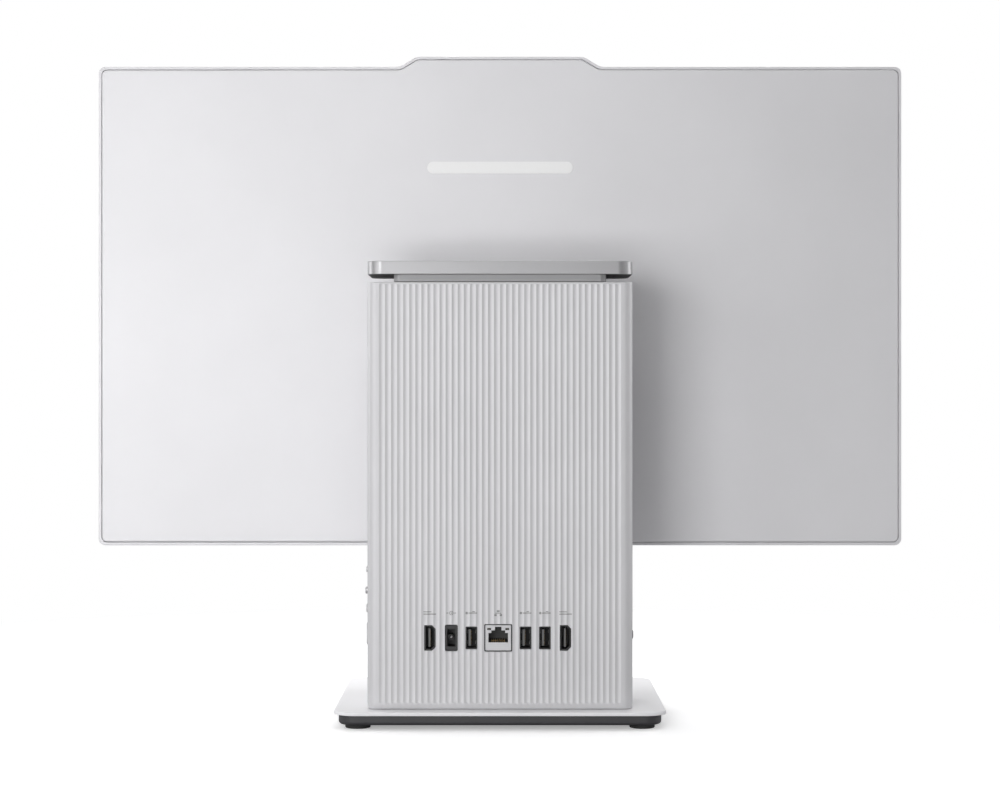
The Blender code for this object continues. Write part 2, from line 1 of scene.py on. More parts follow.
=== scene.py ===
import bpy
import bmesh
import math
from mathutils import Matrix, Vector


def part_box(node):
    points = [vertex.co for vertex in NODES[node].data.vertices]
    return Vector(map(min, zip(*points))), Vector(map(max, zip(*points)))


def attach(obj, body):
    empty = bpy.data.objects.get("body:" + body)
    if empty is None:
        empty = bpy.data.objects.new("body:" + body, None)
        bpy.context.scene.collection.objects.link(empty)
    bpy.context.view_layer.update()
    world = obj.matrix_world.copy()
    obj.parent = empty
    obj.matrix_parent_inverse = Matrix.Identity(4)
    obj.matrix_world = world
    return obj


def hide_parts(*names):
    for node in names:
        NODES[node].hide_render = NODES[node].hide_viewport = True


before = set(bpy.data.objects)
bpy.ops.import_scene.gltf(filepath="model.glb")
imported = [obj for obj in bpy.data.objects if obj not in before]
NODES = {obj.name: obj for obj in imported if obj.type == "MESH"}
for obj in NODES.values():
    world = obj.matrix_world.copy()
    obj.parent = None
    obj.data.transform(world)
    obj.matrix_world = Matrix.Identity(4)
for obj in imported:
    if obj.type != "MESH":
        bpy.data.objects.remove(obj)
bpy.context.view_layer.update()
MM = 0.001
scene = bpy.context.scene


# ------------------------------------------------------------------ materials
def base_mat(name):
    m = bpy.data.materials.new(name)
    m.use_nodes = True
    nt = m.node_tree
    return m, nt, nt.nodes["Principled BSDF"]


def surface(name, dark, light, rough=(0.4, 0.5), metal=0.0, grain=900.0, bump=0.05, dist=0.00004,
            stretch=(1, 1, 1), blotch=14.0, coat=0.0, coat_rough=0.2, spec=0.5, aniso=0.0):
    """Painted, moulded or brushed surface: slow tone drift, fine grain in roughness and bump."""
    m, nt, b = base_mat(name)
    N, L = nt.nodes, nt.links
    tc = N.new("ShaderNodeTexCoord")
    mp = N.new("ShaderNodeMapping")
    mp.inputs["Scale"].default_value = stretch
    L.new(tc.outputs["Object"], mp.inputs["Vector"])
    big = N.new("ShaderNodeTexNoise")
    big.inputs["Scale"].default_value = blotch
    big.inputs["Detail"].default_value = 3.0
    L.new(tc.outputs["Object"], big.inputs["Vector"])
    fine = N.new("ShaderNodeTexNoise")
    fine.inputs["Scale"].default_value = grain
    fine.inputs["Detail"].default_value = 2.0
    L.new(mp.outputs["Vector"], fine.inputs["Vector"])
    ramp = N.new("ShaderNodeValToRGB")
    ramp.color_ramp.elements[0].position = 0.3
    ramp.color_ramp.elements[1].position = 0.7
    ramp.color_ramp.elements[0].color = (*dark, 1)
    ramp.color_ramp.elements[1].color = (*light, 1)
    mix = N.new("ShaderNodeMath")
    mix.operation = "MULTIPLY_ADD"
    mix.inputs[1].default_value = 0.35
    L.new(fine.outputs["Fac"], mix.inputs[0])
    half = N.new("ShaderNodeMath")
    half.operation = "MULTIPLY"
    half.inputs[1].default_value = 0.65
    L.new(big.outputs["Fac"], half.inputs[0])
    L.new(half.outputs[0], mix.inputs[2])
    L.new(mix.outputs[0], ramp.inputs["Fac"])
    L.new(ramp.outputs["Color"], b.inputs["Base Color"])
    mr = N.new("ShaderNodeMapRange")
    mr.inputs["From Min"].default_value = 0.3
    mr.inputs["From Max"].default_value = 0.7
    mr.inputs["To Min"].default_value = rough[0]
    mr.inputs["To Max"].default_value = rough[1]
    L.new(fine.outputs["Fac"], mr.inputs["Value"])
    L.new(mr.outputs["Result"], b.inputs["Roughness"])
    bp = N.new("ShaderNodeBump")
    bp.inputs["Strength"].default_value = bump
    bp.inputs["Distance"].default_value = dist
    L.new(fine.outputs["Fac"], bp.inputs["Height"])
    L.new(bp.outputs["Normal"], b.inputs["Normal"])
    b.inputs["Metallic"].default_value = metal
    b.inputs["Specular IOR Level"].default_value = spec
    b.inputs["Coat Weight"].default_value = coat
    b.inputs["Coat Roughness"].default_value = coat_rough
    b.inputs["Anisotropic"].default_value = aniso
    return m


def grey(v, cool=0.0):
    return (v, v - 0.3 * cool, v + cool)


M = {}
M["cover"] = surface("display_cover_paint", grey(0.715, 0.014), grey(0.755, 0.015), (0.5, 0.58),
                     metal=0.38, grain=1600, bump=0.04, coat=0.0, spec=0.5)
M["rim"] = surface("display_rim_metal", grey(0.70, 0.014), grey(0.74, 0.016), (0.46, 0.54),
                   metal=0.22, grain=1400, bump=0.04)
M["tower"] = surface("tower_plastic", grey(0.575, 0.011), grey(0.612, 0.012), (0.46, 0.54),
                     metal=0.24, grain=1900, bump=0.07)
M["top"] = surface("top_plate_metal", grey(0.38, 0.007), grey(0.41, 0.008), (0.34, 0.41),
                   metal=0.5, grain=2600, stretch=(0.03, 1, 1), bump=0.04)
M["neck"] = surface("neck_metal", grey(0.31, 0.006), grey(0.34, 0.007), (0.42, 0.5),
                    metal=0.3, grain=700, stretch=(0.05, 1, 1), bump=0.05)
M["base"] = surface("base_plate_paint", grey(0.83, 0.012), grey(0.87, 0.014), (0.34, 0.44),
                    metal=0.0, grain=1500, bump=0.05)
M["tray"] = surface("base_tray_paint", grey(0.042, 0.003), grey(0.054, 0.003), (0.42, 0.55),
                    grain=1300, bump=0.15)
M["rubber"] = surface("foot_rubber", grey(0.03), grey(0.042), (0.75, 0.9), grain=1100, bump=0.3)
M["steel"] = surface("hinge_paint", grey(0.50, 0.006), grey(0.54, 0.008), (0.36, 0.46), metal=0.5,
                     grain=1300, bump=0.06)
M["zinc"] = surface("zinc_sheet", (0.5, 0.51, 0.52), (0.62, 0.63, 0.65), (0.35, 0.5), metal=1.0,
                    grain=90, blotch=60, bump=0.06)
M["black"] = surface("black_plastic", grey(0.012), grey(0.02), (0.4, 0.5), grain=1500, bump=0.1)
M["dark"] = surface("dark_grey_plastic", grey(0.05), grey(0.065), (0.4, 0.5), grain=1500, bump=0.1)
M["shade"] = surface("socket_plastic", grey(0.015), grey(0.023), (0.4, 0.5), grain=1500, bump=0.08)
# darker grey for the top plate's downward faces: painted shade for the shadow under the plate
M["liner"] = surface("plate_liner", grey(0.08), grey(0.095), (0.6, 0.7), grain=1500, bump=0.1)
M["shell"] = surface("socket_shell_black", grey(0.026), grey(0.036), (0.34, 0.44), metal=0.3, grain=1500, bump=0.06)
M["mid"] = surface("contact_block_grey", grey(0.11), grey(0.14), (0.4, 0.5), grain=1500, bump=0.05)
M["nickel"] = surface("nickel_shell", grey(0.47, 0.008), grey(0.53, 0.01), (0.38, 0.46), metal=0.5,
                      grain=900, bump=0.05)
# gold contacts, their colour darkened well below bright gold as painted shade for the socket recesses they sit in
M["gold"] = surface("contact_gold_painted_shade", (0.2, 0.145, 0.065), (0.25, 0.185, 0.09), (0.26, 0.34), metal=1.0,
                    grain=900, bump=0.03)
M["key"] = surface("key_metal", grey(0.50, 0.008), grey(0.54, 0.01), (0.3, 0.4), metal=0.6,
                   grain=1400, bump=0.04)
M["mark"] = surface("mark_white", grey(0.93), grey(0.96), (0.3, 0.4), grain=1500, bump=0.02)
M["ink"] = surface("label_ink", grey(0.24), grey(0.28), (0.5, 0.6), grain=1500, bump=0.02)
M["copper"] = surface("bare_copper", (0.62, 0.3, 0.17), (0.75, 0.4, 0.25), (0.25, 0.4), metal=1.0,
                      grain=300, blotch=90, bump=0.05)
M["fin"] = surface("fin_aluminium", grey(0.66, 0.01), grey(0.74, 0.01), (0.3, 0.42), metal=1.0,
                   grain=500, stretch=(1, 1, 0.05), bump=0.05)
M["chip"] = surface("chip_resin", grey(0.02), grey(0.032), (0.35, 0.5), grain=1800, bump=0.12)
M["lens"] = surface("lens_glass", (0.004, 0.004, 0.012), (0.008, 0.006, 0.02), (0.03, 0.06),
                    grain=200, bump=0.0, coat=1.0, coat_rough=0.03)
M["lamp"] = surface("port_lamp", (0.05, 0.046, 0.03), (0.07, 0.062, 0.042), (0.25, 0.32), grain=800,
                    bump=0.02)
M["led"] = surface("light_window", (0.72, 0.76, 0.66), (0.82, 0.84, 0.76), (0.25, 0.32), grain=800,
                   bump=0.02)


def board_mat(name, mask, trace):
    """Circuit board: masked copper tracks in a grid, pads and via dots."""
    m, nt, b = base_mat(name)
    N, L = nt.nodes, nt.links
    tc = N.new("ShaderNodeTexCoord")
    br = N.new("ShaderNodeTexBrick")
    br.inputs["Scale"].default_value = 260.0
    br.inputs["Mortar Size"].default_value = 0.012
    br.inputs["Color1"].default_value = (*mask, 1)
    br.inputs["Color2"].default_value = (*[c * 0.85 for c in mask], 1)
    br.inputs["Mortar"].default_value = (*trace, 1)
    rot = N.new("ShaderNodeMapping")
    rot.inputs["Rotation"].default_value = (math.radians(90), 0, 0)
    L.new(tc.outputs["Object"], rot.inputs["Vector"])
    L.new(rot.outputs["Vector"], br.inputs["Vector"])
    vo = N.new("ShaderNodeTexVoronoi")
    vo.inputs["Scale"].default_value = 300.0
    L.new(tc.outputs["Object"], vo.inputs["Vector"])
    lt = N.new("ShaderNodeMath")
    lt.operation = "LESS_THAN"
    lt.inputs[1].default_value = 0.09
    L.new(vo.outputs["Distance"], lt.inputs[0])
    mx = N.new("ShaderNodeMix")
    mx.data_type = "RGBA"
    mx.inputs["B"].default_value = (0.75, 0.6, 0.3, 1)
    L.new(lt.outputs[0], mx.inputs["Factor"])
    L.new(br.outputs["Color"], mx.inputs["A"])
    L.new(mx.outputs["Result"], b.inputs["Base Color"])
    bp = N.new("ShaderNodeBump")
    bp.inputs["Strength"].default_value = 0.2
    bp.inputs["Distance"].default_value = 0.00005
    L.new(br.outputs["Fac"], bp.inputs["Height"])
    L.new(bp.outputs["Normal"], b.inputs["Normal"])
    b.inputs["Roughness"].default_value = 0.38
    b.inputs["Coat Weight"].default_value = 0.3
    return m


M["board"] = board_mat("board_green", (0.012, 0.085, 0.04), (0.03, 0.16, 0.08))
M["board_dark"] = board_mat("board_dark", (0.012, 0.02, 0.03), (0.05, 0.06, 0.07))


def screen_mat():
    """Cover glass: black printed border, a slightly lifted lit-area rectangle behind it."""
    m, nt, b = base_mat("screen_glass")
    N, L = nt.nodes, nt.links
    tc = N.new("ShaderNodeTexCoord")
    sx = N.new("ShaderNodeSeparateXYZ")
    L.new(tc.outputs["Object"], sx.inputs[0])
    ab = N.new("ShaderNodeMath")
    ab.operation = "ABSOLUTE"
    L.new(sx.outputs["X"], ab.inputs[0])
    inx = N.new("ShaderNodeMath")
    inx.operation = "LESS_THAN"
    inx.inputs[1].default_value = 0.26352
    L.new(ab.outputs[0], inx.inputs[0])
    dz = N.new("ShaderNodeMath")
    dz.operation = "SUBTRACT"
    dz.inputs[1].default_value = 0.2750
    L.new(sx.outputs["Z"], dz.inputs[0])
    az = N.new("ShaderNodeMath")
    az.operation = "ABSOLUTE"
    L.new(dz.outputs[0], az.inputs[0])
    inz = N.new("ShaderNodeMath")
    inz.operation = "LESS_THAN"
    inz.inputs[1].default_value = 0.1465
    L.new(az.outputs[0], inz.inputs[0])
    both = N.new("ShaderNodeMath")
    both.operation = "MULTIPLY"
    L.new(inx.outputs[0], both.inputs[0])
    L.new(inz.outputs[0], both.inputs[1])
    mx = N.new("ShaderNodeMix")
    mx.data_type = "RGBA"
    mx.inputs["A"].default_value = (0.004, 0.004, 0.0045, 1)
    mx.inputs["B"].default_value = (0.014, 0.015, 0.018, 1)
    L.new(both.outputs[0], mx.inputs["Factor"])
    L.new(mx.outputs["Result"], b.inputs["Base Color"])
    nz = N.new("ShaderNodeTexNoise")
    nz.inputs["Scale"].default_value = 30.0
    L.new(tc.outputs["Object"], nz.inputs["Vector"])
    mr = N.new("ShaderNodeMapRange")
    mr.inputs["To Min"].default_value = 0.09
    mr.inputs["To Max"].default_value = 0.13
    L.new(nz.outputs["Fac"], mr.inputs["Value"])
    L.new(mr.outputs["Result"], b.inputs["Roughness"])
    b.inputs["Coat Weight"].default_value = 0.4
    b.inputs["Coat Roughness"].default_value = 0.08
    return m


M["screen"] = screen_mat()


# ------------------------------------------------------------------ mesh helpers (millimetres)
def to_xyz(axis, u, v, w):
    if axis == "z":
        return (u, v, w)
    if axis == "y":
        return (u, w, v)
    return (w, u, v)


def rrect(u0, u1, v0, v1, r=0.0, seg=8):
    r = min(r, (u1 - u0) / 2 - 1e-4, (v1 - v0) / 2 - 1e-4)
    if r <= 0:
        return [(u0, v0), (u1, v0), (u1, v1), (u0, v1)]
    out = []
    for cu, cv, a0 in ((u1 - r, v0 + r, -90), (u1 - r, v1 - r, 0),
                       (u0 + r, v1 - r, 90), (u0 + r, v0 + r, 180)):
        for k in range(seg + 1):
            a = math.radians(a0 + 90.0 * k / seg)
            out.append((cu + r * math.cos(a), cv + r * math.sin(a)))
    return out


def circle(cu, cv, r, n=32):
    return [(cu + r * math.cos(2 * math.pi * k / n), cv + r * math.sin(2 * math.pi * k / n))
            for k in range(n)]


def rect_fn(u0, u1, v0, v1, r, seg=8):
    """Outline that can be inset."""
    return lambda d: rrect(u0 + d, u1 - d, v0 + d, v1 - d, max(r - d, 0.05), seg)


def circ_fn(cu, cv, r, n=40):
    return lambda d: circle(cu, cv, r - d, n)


def loft_into(bm, rings, axis):
    rows = [[bm.verts.new(to_xyz(axis, u, v, w)) for u, v in pts] for w, pts in rings]
    n = len(rows[0])
    for a, b in zip(rows, rows[1:]):
        for i in range(n):
            bm.faces.new((a[i], a[(i + 1) % n], b[(i + 1) % n], b[i]))
    bm.faces.new(rows[0])
    bm.faces.new(list(reversed(rows[-1])))


def slab_rings(fn, lo, hi, r_lo=0.4, r_hi=0.4, seg=3):
    """Rings of a solid whose two rims are rounded over."""
    rings = []
    for k in range(seg + 1):
        a = math.pi / 2 * k / seg
        rings.append((lo + r_lo * (1 - math.sin(a)), fn(r_lo * (1 - math.cos(a)))))
    rings = rings[::-1] if r_lo > 0 else [(lo, fn(0.0))]
    if r_lo > 0:
        rings = [(lo + r_lo * (1 - math.cos(math.pi / 2 * k / seg)),
                  fn(r_lo * (1 - math.sin(math.pi / 2 * k / seg)))) for k in range(seg + 1)]
    if r_hi > 0:
        rings += [(hi - r_hi * (1 - math.sin(math.pi / 2 * k / seg)),
                   fn(r_hi * (1 - math.cos(math.pi / 2 * k / seg)))) for k in range(seg + 1)]
    else:
        rings.append((hi, fn(0.0)))
    return rings


def to_object(name, bm, mats, smooth=35):
    bmesh.ops.remove_doubles(bm, verts=bm.verts, dist=1e-5)
    bmesh.ops.recalc_face_normals(bm, faces=bm.faces)
    for v in bm.verts:
        v.co *= MM
    for f in bm.faces:
        f.smooth = smooth is not None
    me = bpy.data.meshes.new(name)
    bm.to_mesh(me)
    bm.free()
    for m in mats if isinstance(mats, (list, tuple)) else [mats]:
        me.materials.append(m)
    ob = bpy.data.objects.new(name, me)
    scene.collection.objects.link(ob)
    if smooth is not None:
        me.set_sharp_from_angle(angle=math.radians(smooth))
    return ob


def place(ob, body, slot, *nodes, normals=True):
    if normals:
        m = ob.modifiers.new("flat_faces", "WEIGHTED_NORMAL")
        m.keep_sharp = True
    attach(ob, body)
    if nodes:
        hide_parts(*nodes)
    return ob


def slab(name, fn, lo, hi, mat, axis="z", r_lo=0.4, r_hi=0.4, seg=3, smooth=35):
    bm = bmesh.new()
    loft_into(bm, slab_rings(fn, lo, hi, r_lo, r_hi, seg), axis)
    return to_object(name, bm, mat, smooth)


def solids(name, parts, mat, smooth=35):
    """Several closed solids as one piece: parts are (rings, axis)."""
    bm = bmesh.new()
    for rings, axis in parts:
        loft_into(bm, rings, axis)
    return to_object(name, bm, mat, smooth)


def combine(ob, other, op="DIFFERENCE", smooth=35):
    m = ob.modifiers.new("op", "BOOLEAN")
    m.operation = op
    m.solver = "EXACT"
    m.material_mode = "TRANSFER"
    m.object = other
    bpy.context.view_layer.update()
    dg = bpy.context.evaluated_depsgraph_get()
    me = bpy.data.meshes.new_from_object(ob.evaluated_get(dg))
    ob.modifiers.clear()
    ob.data = me
    bpy.data.objects.remove(other, do_unlink=True)
    if smooth is not None:
        for p in me.polygons:
            p.use_smooth = True
        me.set_sharp_from_angle(angle=math.radians(smooth))
    return ob


def cut(ob, parts, axis, mat=None, smooth=35):
    """parts: (outline, lo, hi) prisms taken away together."""
    bm = bmesh.new()
    for pts, lo, hi in parts:
        loft_into(bm, [(lo, pts), (hi, pts)], axis)
    c = to_object("cutter", bm, mat or ob.data.materials[0], smooth)
    return combine(ob, c, "DIFFERENCE", smooth)


def bevel(ob, width=0.2, seg=2, angle=50):
    m = ob.modifiers.new("edge", "BEVEL")
    m.width = width * MM
    m.segments = seg
    m.limit_method = "ANGLE"
    m.angle_limit = math.radians(angle)
    m.use_clamp_overlap = True
    m.harden_normals = True
    return ob


def bx(node):
    lo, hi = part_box(node)
    return [v * 1000 for v in lo], [v * 1000 for v in hi]


# ------------------------------------------------------------------ stage, lights, camera
cam_d = bpy.data.cameras.new("camera")
cam_d.lens = 87.3
cam_d.sensor_width = 36.0
cam_d.shift_y = -0.012
cam = bpy.data.objects.new("camera", cam_d)
cam.location = (0.0, 1.5965, 0.2126)
cam.rotation_euler = (math.radians(90), 0.0, math.radians(180))
scene.collection.objects.link(cam)
scene.camera = cam
scene.view_settings.view_transform = "Standard"

world = bpy.data.worlds.new("studio")
scene.world = world
world.use_nodes = True
wn, wl = world.node_tree.nodes, world.node_tree.links
wbg = wn["Background"]
wbg.inputs["Color"].default_value = (1, 1, 1, 1)
wbg.inputs["Strength"].default_value = 0.19
wsee = wn.new("ShaderNodeBackground")
wsee.inputs["Color"].default_value = (1, 1, 1, 1)
wsee.inputs["Strength"].default_value = 1.0
lp = wn.new("ShaderNodeLightPath")
wm = wn.new("ShaderNodeMixShader")
wl.new(lp.outputs["Is Camera Ray"], wm.inputs[0])
wl.new(wbg.outputs[0], wm.inputs[1])
wl.new(wsee.outputs[0], wm.inputs[2])
wl.new(wm.outputs[0], wn["World Output"].inputs["Surface"])


def area(name, loc, target, sx, sy, power):
    d = bpy.data.lights.new(name, "AREA")
    d.shape = "RECTANGLE"
    d.size, d.size_y = sx, sy
    d.energy = power
    o = bpy.data.objects.new(name, d)
    o.location = loc
    o.rotation_euler = (Vector(target) - Vector(loc)).to_track_quat("-Z", "Y").to_euler()
    o.visible_camera = False
    scene.collection.objects.link(o)
    return o


area("key_left", (0.58, 1.75, 0.38), (0.0, 0.0, 0.26), 0.64, 0.7, 9.4)
area("key_side", (1.2, 1.15, 0.5), (0.0, 0.02, 0.24), 0.6, 0.8, 4.1)
area("low_fill", (0.34, 1.3, 0.06), (0.0, 0.0, 0.3), 0.9, 0.1, 2.15)
area("rear_high", (0.1, 1.2, 1.6), (0.0, 0.03, 0.1), 1.2, 0.6, 4.2)
area("top_soft", (0.0, -0.35, 1.5), (0, 0.05, 0.0), 1.3, 0.9, 11)
area("front_card", (0.0, -2.0, 0.32), (0.0, 0.0, 0.12), 3.2, 0.6, 8)
area("front_soft", (0.9, -1.7, 1.3), (0, 0, 0.25), 1.0, 1.0, 16)
area("side_right", (-1.7, -0.3, 0.6), (0, 0.02, 0.2), 0.8, 0.9, 9)
area("side_left", (1.7, -0.35, 0.6), (0, 0.02, 0.2), 0.8, 0.9, 9)
area("edge_strip", (-1.5, 0.75, 0.4), (0, 0.05, 0.25), 0.14, 0.8, 0.9)

bm = bmesh.new()
loft_into(bm, [(-6.0, circle(0, 0, 6000, 96)), (0.0, circle(0, 0, 6000, 96))], "z")
fm, fnt, fb = base_mat("floor_white")
fb.inputs["Base Color"].default_value = (0.9, 0.9, 0.905, 1)
fb.inputs["Roughness"].default_value = 0.8
fb.inputs["Specular IOR Level"].default_value = 0.1
fb.inputs["Emission Color"].default_value = (1, 1, 1, 1)
fb.inputs["Emission Strength"].default_value = 0.36
# the floor fades into the white surround away from the object
ftc = fnt.nodes.new("ShaderNodeTexCoord")
fln = fnt.nodes.new("ShaderNodeVectorMath")
fln.operation = "LENGTH"
fnt.links.new(ftc.outputs["Object"], fln.inputs[0])
fmr = fnt.nodes.new("ShaderNodeMapRange")
fmr.inputs["From Min"].default_value = 0.30
fmr.inputs["From Max"].default_value = 0.75
fmr.interpolation_type = "SMOOTHSTEP"
fnt.links.new(fln.outputs["Value"], fmr.inputs["Value"])
fem = fnt.nodes.new("ShaderNodeEmission")
fem.inputs["Strength"].default_value = 1.0
fmx = fnt.nodes.new("ShaderNodeMixShader")
fnt.links.new(fmr.outputs["Result"], fmx.inputs[0])
fnt.links.new(fb.outputs[0], fmx.inputs[1])
fnt.links.new(fem.outputs[0], fmx.inputs[2])
fgr = fnt.nodes.new("ShaderNodeBsdfDiffuse")
fgr.inputs["Color"].default_value = (0.45, 0.45, 0.455, 1)
flp = fnt.nodes.new("ShaderNodeLightPath")
fsw = fnt.nodes.new("ShaderNodeMixShader")
fnt.links.new(flp.outputs["Is Camera Ray"], fsw.inputs[0])
fnt.links.new(fgr.outputs[0], fsw.inputs[1])
fnt.links.new(fmx.outputs[0], fsw.inputs[2])
fnt.links.new(fsw.outputs[0], fnt.nodes["Material Output"].inputs["Surface"])
floor = to_object("floor", bm, fm, None)

# ------------------------------------------------------------------ base
lo, hi = bx("base_plate")
BX, BY = hi[0], hi[1]
ob = slab("base_plate_skin", rect_fn(lo[0], hi[0], lo[1], hi[1], 14.5, 18), lo[2], hi[2], M["base"],
          r_lo=0.35, r_hi=0.7, seg=4)
place(ob, "stand", "silver_metal", "base_plate")

lo, hi = bx("base_tray")
rings = [(lo[2] + 1.4, rrect(lo[0] + 22, hi[0] - 22, lo[1] + 16, hi[1] - 16, 5.0, 12)),
         (lo[2] + 1.4, rrect(lo[0] + 16.2, hi[0] - 16.2, lo[1] + 10.2, hi[1] - 10.2, 6.0, 12)),
         (lo[2], rrect(lo[0] + 15.6, hi[0] - 15.6, lo[1] + 9.6, hi[1] - 9.6, 6.5, 12))]
tf = rect_fn(lo[0], hi[0], lo[1], hi[1], 11.0, 14)
rings = slab_rings(tf, lo[2], hi[2], 2.2, 0.25, 6)
ob = solids("base_tray_shell", [(rings, "z")], M["tray"])
# four foot wells and a shallow panel in the underside
fx, fy = 89.0, 77.0
wells = [(circle(sx * fx, sy * fy, 8.6, 40), lo[2] - 1, lo[2] + 0.5)
         for sx in (-1, 1) for sy in (-1, 1)]
wells += [(rrect(-72, 72, -60, 60, 6, 8), lo[2] - 1, lo[2] + 0.8)]
wells += [(circle(sx * fx, sy * 45.0, 2.6, 24), lo[2] - 1, lo[2] + 1.6)
          for sx in (-1, 1) for sy in (-1, 1)]
cut(ob, wells, "z")
place(ob, "stand", "weight_metal", "base_tray")
parts = []
for sx in (-1, 1):
    for sy in (-1, 1):
        parts.append((slab_rings(circ_fn(sx * fx, sy * 45.0, 2.2, 24), lo[2] + 0.3, lo[2] + 1.7,
                                 0.3, 0.0, 2), "z"))
ob = solids("base_screws", parts, M["zinc"])
cut(ob, [(circle(sx * fx, sy * 45.0, 0.9, 6), lo[2] - 1, lo[2] + 1.0)
         for sx in (-1, 1) for sy in (-1, 1)], "z")
place(ob, "stand", "sheet_steel")

for tag, sx, sy in (("fr", 1, -1), ("fl", -1, -1), ("rr", 1, 1), ("rl", -1, 1)):
    cx, cy = sx * fx, sy * fy
    c = lambda r: circle(cx, cy, r, 48)
    ob = solids("rubber_foot_" + tag,
                [([(0.5, c(0.4)), (0.5, c(4.6)), (0.0, c(5.0)), (0.0, c(7.3)), (0.15, c(7.7)),
                   (0.5, c(7.95)), (1.6, c(8.0)), (2.7, c(8.0))], "z")], M["rubber"])
    place(ob, "stand", "rubber", "foot_" + tag)

# ------------------------------------------------------------------ tower
lo, hi = bx("tower_rear_cover")
TX, TY1, TZ0, TZ1 = hi[0], hi[1], lo[2], hi[2]
SEAM = lo[1]
FL, SPAN, DEPTH = 40, 151.6, 0.27
R, WALL = 5.5, 2.6


def rear_plan():
    """(x, y, nx, ny, flute depth 0..1) along the outside from one seam to the other."""
    pts = [(TX, SEAM, 1, 0, 0.0), (TX, TY1 - R, 1, 0, 0.0)]
    for k in range(1, 13):
        a = math.pi / 2 * k / 12
        pts.append((TX - R + R * math.cos(a), TY1 - R + R * math.sin(a), math.cos(a), math.sin(a), 0.0))
    half = list(pts)
    mid = []
    p = SPAN / FL
    land = 0.12
    for i in range(FL):
        x1 = SPAN / 2 - p * i
        w = p - 2 * land
        mid.append((x1 - 0.001, TY1, 0, 1, 0.0))
        for k in range(0, 11):
            t = k / 10.0
            f = 1 - (2 * t - 1) ** 2
            mid.append((x1 - land - w * t, TY1, 0, 1, f if 0 < k < 10 else 0.0))
    mid.append((-SPAN / 2, TY1, 0, 1, 0.0))
    mirrored = [(-x, y, -nx, ny, f) for x, y, nx, ny, f in reversed(half)]
    return half + mid + mirrored


plan = rear_plan()
levels = [(TZ0, 0.75, 0.0), (TZ0 + 0.13, 0.43, 0.0), (TZ0 + 0.45, 0.3, 0.0), (15.2, 0.0, 0.0)]
for k in range(1, 6):
    a = math.pi / 2 * k / 5
    levels.append((15.2 + 1.1 * (1 - math.cos(a)), 0.0, math.sin(a)))
levels += [(46.0, 0.0, 1.0), (66.5, 0.0, 1.0), (170.0, 0.0, 1.0)]
for k in range(5, 0, -1):
    a = math.pi / 2 * k / 5
    levels.append((277.9 - 1.1 * (1 - math.cos(a)), 0.0, math.sin(a)))
levels += [(277.9, 0.0, 0.0), (TZ1 - 0.45, 0.0, 0.0), (TZ1 - 0.13, 0.13, 0.0), (TZ1, 0.45, 0.0)]


def rear_cover():
    bm = bmesh.new()
    cols = []
    for x, y, nx, ny, f in plan:
        col = []
        for z, inset, s in levels:
            d = inset + DEPTH * f * s
            col.append(bm.verts.new((x - nx * d, y - ny * d, z)))
        col.append(bm.verts.new((x - nx * WALL, y - ny * WALL, TZ1)))
        col.append(bm.verts.new((x - nx * WALL, y - ny * WALL, TZ0)))
        cols.append(col)
    m = len(cols[0])
    for a, b in zip(cols, cols[1:]):
        for j in range(m):
            bm.faces.new((a[j], b[j], b[(j + 1) % m], a[(j + 1) % m]))
    bm.faces.new(cols[0])
    bm.faces.new(list(reversed(cols[-1])))
    return to_object("tower_rear_skin", bm, M["tower"], 28)


def d_outline(cx, cz, hx, hz, ch):
    """Tall socket outline, the two corners on the -X side cut off."""
    return [(cx + hx, cz - hz), (cx + hx, cz + hz), (cx - hx + ch, cz + hz),
            (cx - hx, cz + hz - ch), (cx - hx, cz - hz + ch), (cx - hx + ch, cz - hz)]


def dbox(node):
    lo, hi = bx(node)
    return ((lo[0] + hi[0]) / 2, (lo[2] + hi[2]) / 2, (hi[0] - lo[0]) / 2, (hi[2] - lo[2]) / 2,
            lo[1], hi[1])


ob = rear_cover()
holes = []
G = 0.28
for n in ("port_video_a", "port_video_b"):
    cx, cz, hx, hz, y0, y1 = dbox(n)
    holes.append((d_outline(cx, cz, hx + G, hz + G, 2.25), 70, 82))
for n, r, g in (("port_usb_a", 0.7, G), ("port_usb_b", 0.7, G), ("port_usb_c", 0.7, G),
                ("port_power_in", 1.0, G), ("port_network", 0.8, 0.68)):
    cx, cz, hx, hz, y0, y1 = dbox(n)
    holes.append((rrect(cx - hx - g, cx + hx + g, cz - hz - g, cz + hz + g, r, 4), 70, 82))
cut(ob, holes, "y", smooth=28)
place(ob, "stand", "light_plastic", "tower_rear_cover", normals=False)

lo, hi = bx("tower_front_shell")


def front_shell():
    bm = bmesh.new()
    y0 = lo[1]
    half = [(TX, hi[1], 1, 0), (TX, y0 + R, 1, 0)]
    for k in range(1, 13):
        a = math.pi / 2 * k / 12
        half.append((TX - R + R * math.cos(a), y0 + R - R * math.sin(a), math.cos(a), -math.sin(a)))
    pts = half + [(-x, y, -nx, ny) for x, y, nx, ny in reversed(half)]
    cols = []
    for x, y, nx, ny in pts:
        col = [bm.verts.new((x - nx * d, y - ny * d, z)) for z, d in
               ((TZ0, 0.45), (TZ0 + 0.13, 0.13), (TZ0 + 0.45, 0.0), (TZ1 - 0.45, 0.0),
                (TZ1 - 0.13, 0.13), (TZ1, 0.45), (TZ1, WALL), (TZ0, WALL))]
        cols.append(col)
    m = len(cols[0])
    for a, b in zip(cols, cols[1:]):
        for j in range(m):
            bm.faces.new((a[j], b[j], b[(j + 1) % m], a[(j + 1) % m]))
    bm.faces.new(cols[0])
    bm.faces.new(list(reversed(cols[-1])))
    return to_object("tower_front_skin", bm, M["tower"], 35)


